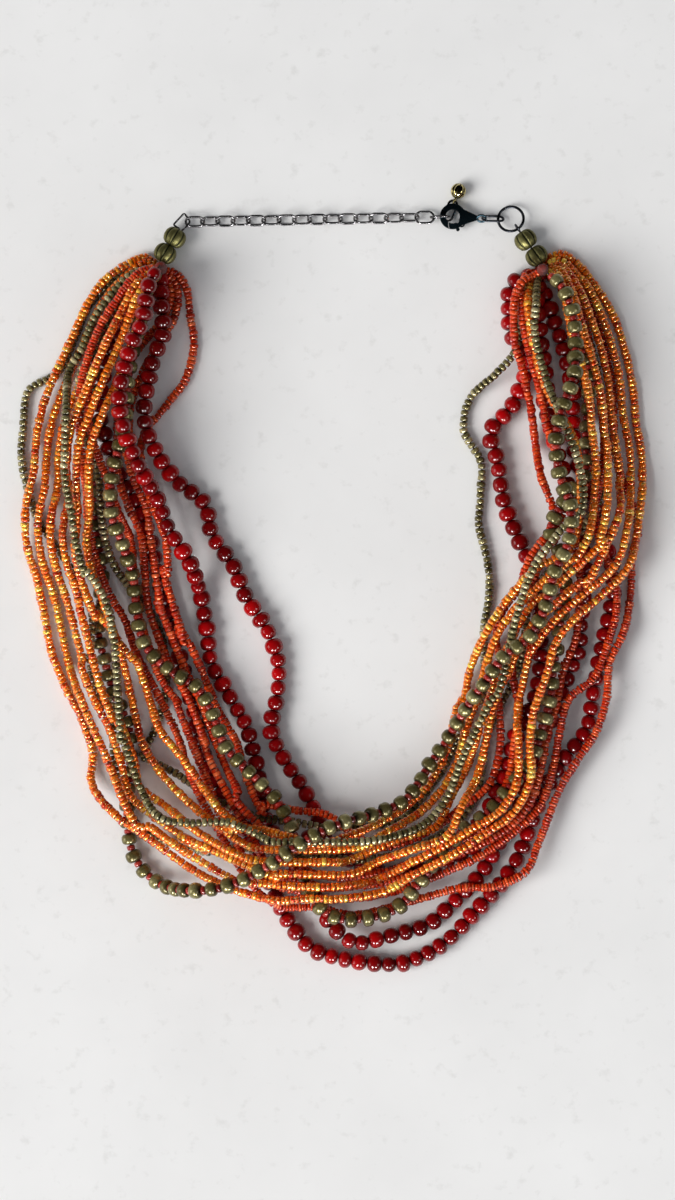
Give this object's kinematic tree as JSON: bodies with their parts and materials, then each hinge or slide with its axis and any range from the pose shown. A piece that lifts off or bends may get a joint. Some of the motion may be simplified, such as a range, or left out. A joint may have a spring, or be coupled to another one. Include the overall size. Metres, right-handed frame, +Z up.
{
  "type": "multi strand bead necklace",
  "caption": "Multi strand bead necklace lying closed: seed and round bead strings gathered into grooved end beads, with a cable chain and a lobster clasp.",
  "frame": {"origin": "middle of the necklace's outline in plan, on the surface it lies on", "axes": "+X to the necklace's right as seen from above, +Y from the beaded curve toward the clasp, +Z up out of the surface"},
  "size_m": [0.1571, 0.1968, 0.0237],
  "materials": {
    "red_beads": "deep red translucent beads with a polished surface",
    "olive_beads": "satin olive beads with a metallic sheen",
    "olive_seeds": "satin olive seed beads",
    "gold_seeds": "orange seed beads lined with gold",
    "coral_seeds": "matte coral seed beads",
    "thread": "brown beading thread",
    "end_beads": "olive patinated brass with dark grooves",
    "dark_metal": "gunmetal plated wire",
    "clasp_metal": "dark blue black plated clasp",
    "ball_metal": "dark aged brass with facets"
  },
  "bodies": {
    "necklace": {"string_red_1": "red_beads", "beads_red_2": "red_beads", "thread_red_2": "thread", "string_red_3": "red_beads", "string_olive_1": "olive_beads", "string_olive_2": "olive_beads", "string_seed_1": "olive_seeds", "string_seed_2": "olive_seeds", "string_seed_3": "olive_seeds", "string_gold_1": "gold_seeds", "string_gold_2": "gold_seeds", "string_gold_3": "gold_seeds", "string_gold_4": "gold_seeds", "string_gold_5": "gold_seeds", "string_gold_6": "gold_seeds", "string_coral_1": "coral_seeds", "string_coral_2": "coral_seeds", "string_coral_3": "coral_seeds", "string_coral_4": "coral_seeds", "string_coral_5": "coral_seeds", "knot_left": "thread", "knot_right": "thread", "melon_left_1": "end_beads", "melon_left_2": "end_beads", "melon_right_1": "end_beads", "melon_right_2": "end_beads", "wire_loop_left": "dark_metal", "wire_eye_right": "dark_metal", "chain": "dark_metal", "end_ball": "ball_metal", "clasp_body": "clasp_metal", "oval_link": "dark_metal", "jump_ring": "dark_metal"},
    "lever": {"clasp_lever": "clasp_metal"}
  },
  "joints": [
    {"name": "lever_turn", "type": "hinge", "parent": "necklace", "child": "lever", "pos_m": [0.03227, 0.08827, 0.0021], "axis": [0, 0, -1], "range_deg": [0, 30], "stiffness_Nm_per_rad": 0.02}
  ]
}
